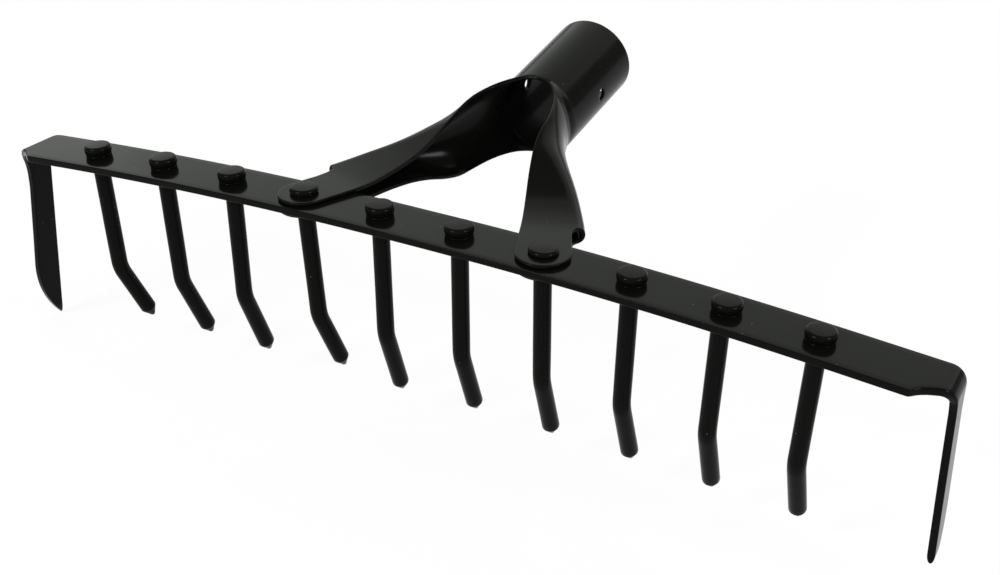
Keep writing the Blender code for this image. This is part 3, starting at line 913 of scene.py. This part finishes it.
    def open_hole(self, side: Side, run: Array, turn: Array) -> tuple:
        """Pull the grid round the nail hole from squares to circles.

        Inside three times the hole's size each square ring of the grid is
        moved towards a circle, wholly so at the hole's own edge.

        Args:
            side: Which half of the tube.
            run: Distance from the crotch along the tube.
            turn: Angle round the tube from its side.

        Returns:
            Both arrays with the rings moved.
        """
        place = (self.tube_rows - self.hole_row(side)) * self.tube_step
        edge = self.hole_cells * self.tube_step
        scale = self.tube_step / (math.pi * self.mid_radius / self.columns)
        u = run - place
        v = turn * self.mid_radius * scale
        square = np.maximum(np.abs(u), np.abs(v))
        circle = np.maximum(np.hypot(u, v), TINY)
        away = smoothstep(square / edge, 1.0, self.hole_spread - 1.0)
        ring = blend(self.shape(side).hole_radius / edge, 1.0, away)
        factor = blend(1.0, square / circle, 1.0 - away) * ring
        near = square < self.hole_spread * edge
        u = np.where(near, u * factor, u)
        v = np.where(near, v * factor * blend(1.0 / scale, 1.0, 1.0 - away), v / scale)
        return u + place, v / self.mid_radius

    def level(self, y: Array) -> Array:
        """Height of the tube's axis, levelled out in front by a soft maximum."""
        ahead = np.logaddexp(0.0, (y - self.notch_end) / self.level_length) * self.level_length
        return (self.notch_end - self.crossing + ahead) * math.tan(self.tilt)

    def arm_grid(self, side: Side) -> tuple:
        """Sheet of one arm from just past the crotch to the lug's middle.

        Each row is a section between the open edge and the fold line. Its
        middle eases from the tube's levelled axis to the bar's.

        Args:
            side: Which arm.

        Returns:
            Rows by columns, as if it were the right arm, and how far each row
            has settled onto the bar.
        """
        share = np.linspace(0.0, 1.0, self.arm_rows + 1)[1:] ** self.arm_power
        arm = self.shape(side)
        inner = self.inner_edge(share)
        own = smoothstep(share, 0.0, self.own_share)
        half = blend(self.mid_radius, arm.at(arm.half_heights, share), own)
        settled = smoothstep(share, *self.settle_run)
        middle = blend(self.level(inner[:, 1]), -self.bar_thickness / 2.0, settled)
        middle = middle + arm.at(arm.lifts, share) * own
        tilt = (self.tilt * (1.0 - smoothstep(share, 0.0, self.neck_share)))[:, None]
        span = self.fold_line(share) - inner
        depth = np.hypot(span[:, 0], span[:, 1])
        way = span / depth[:, None]
        inner = inner + way * (arm.at(arm.shifts, share) * own)[:, None]
        depth = depth + arm.at(arm.extra_depths, share) * own
        fraction = self.fractions(share, side)
        out, up = self.section(depth, half, fraction)
        fading = 1.0 - smoothstep(share, 0.0, self.lower_fade)
        ahead = self.underside(fraction) * fading[:, None]
        x = inner[:, :1] + out * way[:, :1]
        y = inner[:, 1:] + out * way[:, 1:] - up * np.sin(tilt) - ahead * math.cos(self.tilt)
        z = middle[:, None] + up * np.cos(tilt) - ahead * math.sin(self.tilt)
        return stacked(x, y, z), settled

    def sheet_points(self, side: Side) -> tuple:
        """Grid of one arm with its lug and which of its faces are sheet.

        Past the fold's cut, which ends in a quarter ellipse to the lug, each
        column of a leaf runs on to the lug's round outline.

        Args:
            side: Which arm.

        Returns:
            Points by rows and columns, and a mask of the faces.
        """
        arm, settled = self.arm_grid(side)
        shape = self.shape(side)
        offset = arm[..., :2] - self.lug_middle
        out, ahead = offset @ self.outward, offset @ self.forward
        column = np.arange(self.columns + 1)
        leaf = (column <= self.leaf_columns) | (column >= self.columns - self.leaf_columns)
        start = -shape.cut_distance - self.cut_lead
        first = int(np.argmax(ahead[:, (self.columns + 1) // 2] > start))
        corner = self.lug_radius + self.cut_radius
        lateral = np.clip(np.abs(out[-1]), 0.0, corner)
        hollow = np.sqrt(np.maximum(1.0 - ((corner - lateral) / self.cut_radius) ** 2, 0.0))
        fillet = np.where(leaf, 0.0, -shape.cut_run * hollow) - (shape.cut_distance - shape.cut_run)
        tip = np.sqrt(np.maximum(self.lug_radius ** 2 - out[-1] ** 2, 0.0))
        begin = ahead[first - 1]
        to_cut = begin + np.linspace(0.0, 1.0, self.cut_rows + 1)[1:, None] * (fillet - begin)
        to_tip = fillet + np.linspace(0.0, 1.0, self.lug_rows + 1)[1:, None] * (tip - fillet)
        distance = joined(to_cut, np.where(leaf, to_tip, fillet))
        track = self.follow(arm[first - 1 :], ahead[first - 1 :], distance)
        points = joined(arm[:first], track)
        mask = np.ones((len(points) - 1, self.columns), dtype=bool)
        mask[first + self.cut_rows - 1 :] = leaf[:-1] & leaf[1:]
        drop = ARCH.place(points * np.array((1.0, 1.0, 0.0)))[..., 2]
        weight = joined(settled[:first], np.ones(len(track)))
        points[..., 2] += drop * weight[:, None]
        return points, mask

    def follow(self, rows: Array, ahead: Array, distance: Array) -> Array:
        """Points of each column at the given distances towards the lug's front.

        Past the last row a column carries on straight.

        Args:
            rows: Points by rows and columns.
            ahead: Distance of each point towards the front.
            distance: Distances asked for, rows by columns.

        Returns:
            Points by rows and columns.
        """
        found = np.empty((*distance.shape, 3))
        for column, axis in np.ndindex(rows.shape[1:]):
            known = ahead[:, column], rows[:, column, axis]
            found[:, column, axis] = np.interp(distance[:, column], *known)
        found[..., :2] += np.maximum(distance - ahead[-1], 0.0)[..., None] * self.forward
        return found

    def middle_sheet(self) -> tuple:
        """Mid-thickness mesh of both halves, joined along the closed tube.

        Returns:
            Points and quads.
        """
        points, quads = [], []
        middle, cells = self.columns // 2, self.hole_cells
        for side in (Side.RIGHT, Side.LEFT):
            tube = self.tube_grid(side)
            arm, mask = self.sheet_points(side)
            grid = joined(tube, arm)
            rows, columns = grid.shape[:2]
            number = np.arange(rows * columns).reshape(rows, columns)
            if side is Side.RIGHT:
                right = number
            else:
                number += right.size
                number[: len(tube), [0, -1]] = right[: len(tube), [0, -1]]
            points.append((grid * np.array((side.value, 1.0, 1.0))).reshape(-1, 3))
            keep = np.ones((rows - 1, columns - 1), dtype=bool)
            keep[len(tube) :] = mask
            row = self.hole_row(side)
            keep[row - cells : row + cells, middle - cells : middle + cells] = False
            quads.append(quad_corners(number)[keep][:, :: side.value])
        quads = joined(*quads)
        used, inverse = np.unique(quads, return_inverse=True)
        return joined(*points)[used], inverse.reshape(quads.shape)

    def build(self, finish: "BakedEnamel") -> Piece:
        """Socket with its full thickness and rounded rims.

        Args:
            finish: Enamel that coats it.

        Returns:
            The finished piece.
        """
        points, quads = self.middle_sheet()
        solid, faces = thicken(points, quads, self.sheet)
        piece = make_piece("socket_sheet", solid, faces)
        finish.coat(piece, np.zeros(len(solid)))
        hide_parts("handle_socket")
        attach(piece, BODY)
        return piece


def unit(vectors: Array) -> Array:
    """The same directions with a length of one."""
    return vectors / np.linalg.norm(vectors, axis=1, keepdims=True)


def thicken(points: Array, quads: Array, thickness: float) -> tuple:
    """Closed solid from a thin open surface, with rounded rims.

    Each point is moved half the thickness along its normal to both sides.
    Along each open edge a full arc, in the plane of the normal and the
    direction out of the surface, joins the two sides: the sine and cosine
    of a half turn, to a power below 1.

    Args:
        points: Points of the middle surface.
        quads: Quads of the middle surface.
        thickness: Thickness of the sheet.

    Returns:
        Points and quads of the solid.
    """
    a, b, c, d = (points[quads[:, k]] for k in range(4))
    facing = np.cross(c - a, d - b)
    normal = np.zeros_like(points)
    for k in range(4):
        np.add.at(normal, quads[:, k], facing)
    normal = unit(normal)
    edges = joined(*(stacked(quads[:, k], quads[:, (k + 1) % 4]) for k in range(4)))
    count = len(points)
    key = edges[:, 0] * count + edges[:, 1]
    back = edges[:, 1] * count + edges[:, 0]
    rim = edges[~np.isin(key, back)]
    start, end = rim.T
    run = unit(points[end] - points[start])
    tangent = np.zeros_like(points)
    np.add.at(tangent, start, run)
    np.add.at(tangent, end, run)
    rim_points = np.unique(rim)
    away = unit(np.cross(tangent[rim_points], normal[rim_points]))
    turn = np.linspace(0.0, math.pi, RIM_STEPS + 1)[1:-1, None, None]
    lift = np.sign(np.cos(turn)) * np.abs(np.cos(turn)) ** RIM_POWER
    reach = RIM_BULGE * np.sin(turn) ** RIM_POWER
    half = thickness / 2.0
    arcs = points[rim_points] + half * (lift * normal[rim_points] + reach * away)
    solid = joined(points + normal * half, points - normal * half, arcs.reshape(-1, 3))
    slot = np.full(count, -1)
    slot[rim_points] = np.arange(len(rim_points))
    levels = [np.arange(count)]
    levels += [2 * count + level * len(rim_points) + slot for level in range(RIM_STEPS - 1)]
    levels.append(np.arange(count) + count)
    pairs = zip(levels[:-1], levels[1:])
    strips = [stacked(up[end], up[start], low[start], low[end]) for up, low in pairs]
    return solid, joined(quads, quads[:, ::-1] + count, *strips)


def srgb(code: str, alpha: float = 1.0) -> tuple:
    """Turn an sRGB hex colour to linear values.

    Args:
        code: Colour as six hex digits.
        alpha: Opacity.

    Returns:
        Red, green, blue and alpha, linear.
    """
    parts = np.array([int(code[index : index + 2], 16) for index in (0, 2, 4)]) / 255.0
    linear = np.where(parts <= 0.04045, parts / 12.92, ((parts + 0.055) / 1.055) ** 2.4)
    return (*linear.tolist(), alpha)


def add_node(
    tree: bpy.types.NodeTree, kind: str, settings: dict = None, links: dict = None
) -> bpy.types.Node:
    """Add a node with its settings and the links into it.

    Args:
        tree: Tree that it goes into.
        kind: Name of the node type.
        settings: Values for properties, or for inputs by name or number.
        links: Output sockets for inputs by name or number.

    Returns:
        The new node.
    """
    node = tree.nodes.new(kind)
    for key, value in (settings or {}).items():
        if isinstance(key, str) and hasattr(node, key):
            setattr(node, key, value)
        else:
            node.inputs[key].default_value = value
    for key, socket in (links or {}).items():
        tree.links.new(socket, node.inputs[key])
    return node


def add_math(tree: bpy.types.NodeTree, operation: str, *terms: object) -> bpy.types.NodeSocket:
    """Add a node that works on numbers and output sockets.

    Args:
        tree: Tree that it goes into.
        operation: Name of the operation.
        terms: Number or output socket for each input, in order.

    Returns:
        The node's output socket.
    """
    given = dict(enumerate(terms))
    links = {key: term for key, term in given.items() if not isinstance(term, float)}
    numbers = {key: term for key, term in given.items() if key not in links}
    node = add_node(tree, "ShaderNodeMath", {"operation": operation, **numbers}, links)
    return node.outputs[0]


@dataclass(frozen=True)
class BakedEnamel:
    """Glossy black baked enamel, dipped or sprayed on steel and stoved.

    The coat is a deep near-black with a slightly green cast. It flows out to
    a soft, wet gloss with a faint orange peel, and gathers a little dust. At
    ground points it is thin, and grey steel shows.
    """

    name: str
    roughness: float = 0.16
    roughness_shares: tuple = (0.85, 1.2)
    worn_roughness: float = 0.3
    colour: str = "0b0c0a"
    bare: str = "55585a"
    ior: float = 1.13
    peel_size: float = 1.6 * MM
    peel_depth: float = 0.020 * MM
    peel_strength: float = 0.22
    wave_size: float = 14.0 * MM
    wave_weight: float = 5.0
    wave_range: tuple = (0.3, 0.7)
    dust_colour: str = "5c5e58"
    dust_spacing: float = 2.6 * MM
    dust_radii: tuple = (0.05, 0.09)
    dust_free: float = 0.80

    def material(self) -> bpy.types.Material:
        """Build the enamel's material.

        Returns:
            A new material, with its patterns on Object coordinates.
        """
        material = bpy.data.materials.new(self.name)
        material.use_nodes = True
        tree = material.node_tree
        shader = tree.nodes["Principled BSDF"]
        place = {"Vector": add_node(tree, "ShaderNodeTexCoord").outputs["Object"]}
        # Orange peel: lumps under 2 mm across, a few hundredths of a millimetre high,
        # on slow waves of the rolled steel under the coat
        scale = {"Scale": 1.0 / self.peel_size, "Detail": 2.0}
        peel = add_node(tree, "ShaderNodeTexNoise", scale, place).outputs["Fac"]
        scale = {"Scale": 1.0 / self.wave_size, "Detail": 1.0}
        wave = add_node(tree, "ShaderNodeTexNoise", scale, place).outputs["Fac"]
        height = {"Height": add_math(tree, "MULTIPLY_ADD", wave, self.wave_weight, peel)}
        strength = {"Strength": self.peel_strength, "Distance": self.peel_depth}
        bump = add_node(tree, "ShaderNodeBump", strength, height)
        # Dust: specks about a third of a millimetre wide, in some of the cells
        scale = {"Scale": 1.0 / self.dust_spacing}
        cell = add_node(tree, "ShaderNodeTexVoronoi", scale, place)
        fade = dict(zip(RANGE, (*self.dust_radii, 1.0, 0.0)))
        speck = add_node(tree, "ShaderNodeMapRange", fade, {"Value": cell.outputs["Distance"]})
        some = add_math(tree, "GREATER_THAN", cell.outputs["Color"], self.dust_free)
        dust = add_math(tree, "MULTIPLY", speck.outputs[0], some)
        worn = add_node(tree, "ShaderNodeAttribute", {"attribute_name": "wear"}).outputs["Fac"]
        colours = {"data_type": "RGBA", 6: srgb(self.colour), 7: srgb(self.dust_colour)}
        shade = add_node(tree, "ShaderNodeMix", colours, {0: dust})
        colours = {"data_type": "RGBA", 7: srgb(self.bare)}
        thin = add_node(tree, "ShaderNodeMix", colours, {0: worn, 6: shade.outputs[2]})
        limits = (self.roughness * share for share in self.roughness_shares)
        spread = dict(zip(RANGE, (*self.wave_range, *limits)))
        rough = add_node(tree, "ShaderNodeMapRange", spread, {"Value": wave}).outputs[0]
        dull = add_math(tree, "MULTIPLY_ADD", worn, self.worn_roughness, rough)
        tree.links.new(thin.outputs[2], shader.inputs["Base Color"])
        tree.links.new(dull, shader.inputs["Roughness"])
        tree.links.new(bump.outputs["Normal"], shader.inputs["Normal"])
        shader.inputs["IOR"].default_value = self.ior
        shader.inputs["Metallic"].default_value = 0.0
        return material

    def coat(self, piece: Piece, wear: Array) -> None:
        """Turn a closed piece's faces outwards and give it this finish.

        Args:
            piece: Piece to coat.
            wear: Share of thin paint at each of its points.
        """
        turn_outward(piece)
        layer = piece.data.attributes.new("wear", "FLOAT", "POINT")
        layer.data.foreach_set("value", np.asarray(wear, dtype=np.float32))
        piece.data.materials.clear()
        piece.data.materials.append(bpy.data.materials.get(self.name) or self.material())


def direction(bearing: float, rise: float) -> Array:
    """Unit vector at an angle from the front, turning right, and an angle up."""
    level = math.cos(rise)
    return np.array((math.sin(bearing) * level, -math.cos(bearing) * level, math.sin(rise)))


@dataclass(frozen=True)
class Softbox:
    """Rectangular studio lamp that faces the rake head, with its angles in degrees."""

    name: str
    bearing: float
    rise: float
    distance: float
    width: float
    height: float
    radiance: float
    tint: tuple = (1.0, 1.0, 1.0)

    def build(self, aim: Vector) -> None:
        """Place the lamp and turn it to its aim.

        Args:
            aim: Point that it faces.
        """
        lamp = bpy.data.lights.new(self.name, "AREA")
        lamp.shape = "RECTANGLE"
        lamp.size = self.width
        lamp.size_y = self.height
        lamp.energy = self.radiance * math.pi * self.width * self.height
        lamp.color = self.tint
        item = bpy.data.objects.new(self.name, lamp)
        way = Vector(direction(math.radians(self.bearing), math.radians(self.rise)))
        item.location = aim + way * self.distance
        item.rotation_euler = way.to_track_quat("Z", "Y").to_euler()
        bpy.context.scene.collection.objects.link(item)


@dataclass(frozen=True)
class Studio:
    """Camera, with its angles in radians, pale floor and soft lamps."""

    bearing: float = 0.516274
    rise: float = 0.503654
    roll: float = -0.007209
    aim: tuple = (32.466 * MM, 0.192 * MM, -17.0 * MM)
    distance: float = 576.248 * MM
    lens: float = 59.35
    sensor: float = 36.0
    clip: tuple = (0.01, 100.0)
    floor_height: float = -94.0 * MM
    floor_half: float = 12.0
    floor_points: int = 9
    floor_glow: float = 0.88
    paper: str = "f4f4f4"
    white: str = "ffffff"
    room_light: float = 0.36
    back_tint: tuple = (0.97, 1.03, 0.94)

    def camera(self) -> None:
        """Camera at the photograph's angle and distance."""
        back = direction(self.bearing, self.rise)
        right = np.array((math.cos(self.bearing), math.sin(self.bearing), 0.0))
        up = np.cross(back, right)
        turned_right = right * math.cos(self.roll) + up * math.sin(self.roll)
        turned_up = up * math.cos(self.roll) - right * math.sin(self.roll)
        place = np.array(self.aim) + back * self.distance
        data = bpy.data.cameras.new("photo_camera")
        data.sensor_width = self.sensor
        data.lens = self.lens
        data.clip_start, data.clip_end = self.clip
        item = bpy.data.objects.new("photo_camera", data)
        turn = Matrix(stacked(turned_right, turned_up, back).tolist()).to_4x4()
        item.matrix_world = Matrix.Translation(place) @ turn
        bpy.context.scene.collection.objects.link(item)
        bpy.context.scene.camera = item

    def floor(self) -> None:
        """Pale paper floor that keeps the object's soft shadow.

        Straight to the eye, or mirrored, most of it glows an even white.
        """
        side = np.linspace(-self.floor_half, self.floor_half, self.floor_points)
        x, y = np.meshgrid(side, side, indexing="ij")
        points = stacked(x, y, np.full_like(x, self.floor_height)).reshape(-1, 3)
        faces = grid_faces(self.floor_points, self.floor_points, closed=False)
        floor = make_piece("floor", points, faces)
        material = bpy.data.materials.new("paper_floor")
        material.use_nodes = True
        tree = material.node_tree
        tree.nodes.clear()
        path = add_node(tree, "ShaderNodeLightPath").outputs
        seen = add_math(tree, "MAXIMUM", path["Is Camera Ray"], path["Is Glossy Ray"])
        seen = add_math(tree, "MAXIMUM", seen, path["Is Transmission Ray"])
        share = add_math(tree, "MULTIPLY", seen, self.floor_glow)
        paper = add_node(tree, "ShaderNodeBsdfDiffuse", {"Color": srgb(self.paper)})
        light = {"Color": srgb(self.white), "Strength": 1.0}
        glow = add_node(tree, "ShaderNodeEmission", light)
        parts = {0: share, 1: paper.outputs[0], 2: glow.outputs[0]}
        mixed = add_node(tree, "ShaderNodeMixShader", {}, parts)
        add_node(tree, "ShaderNodeOutputMaterial", {}, {"Surface": mixed.outputs[0]})
        floor.data.materials.append(material)

    def room(self) -> None:
        """Even grey light of the room."""
        world = bpy.data.worlds.new("room")
        world.use_nodes = True
        background = world.node_tree.nodes["Background"]
        background.inputs["Color"].default_value = srgb(self.white)
        background.inputs["Strength"].default_value = self.room_light
        bpy.context.scene.world = world

    def lamps(self) -> None:
        """Three softboxes in front and two large soft lights behind."""
        # Bearing and rise in degrees, distance, width and height in metres, radiance
        for plan in (
            Softbox("front_wide", 30.0, 44.0, 2.2, 2.4, 1.3, 0.6),
            Softbox("front_left", -26.0, 34.0, 1.6, 0.5, 0.42, 21.0),
            Softbox("front_right", 86.0, 30.0, 1.6, 0.5, 0.36, 19.0),
            Softbox("back_wide", 200.0, 36.0, 2.0, 4.1, 1.9, 1.3, self.back_tint),
            Softbox("back_left", 247.0, 24.0, 1.9, 1.2, 0.9, 0.3, self.back_tint),
        ):
            plan.build(Vector(self.aim))

    def build(self) -> None:
        """Set up the whole studio."""
        self.camera()
        self.floor()
        self.room()
        self.lamps()
        bpy.context.scene.view_settings.view_transform = "Standard"


def main() -> None:
    """Build every piece of the rake head and the studio round it."""
    logging.basicConfig(level=logging.INFO, format="%(name)s: %(message)s")
    bar_finish = BakedEnamel("baked_enamel_on_bar", roughness=0.14)
    tine_finish = BakedEnamel("baked_enamel_on_tines", roughness=0.20, ior=1.12)
    socket_finish = BakedEnamel("baked_enamel_on_socket", roughness=0.18, ior=1.14)
    pieces = [HeadBar().build(bar_finish)]
    pieces += TineSet().build(tine_finish)
    pieces.append(HandleSocket().build(socket_finish))
    for piece in pieces:
        LOG.info("%s: %d faces", piece.name, len(piece.data.polygons))
    Studio().build()


if __name__ == "__main__":
    main()
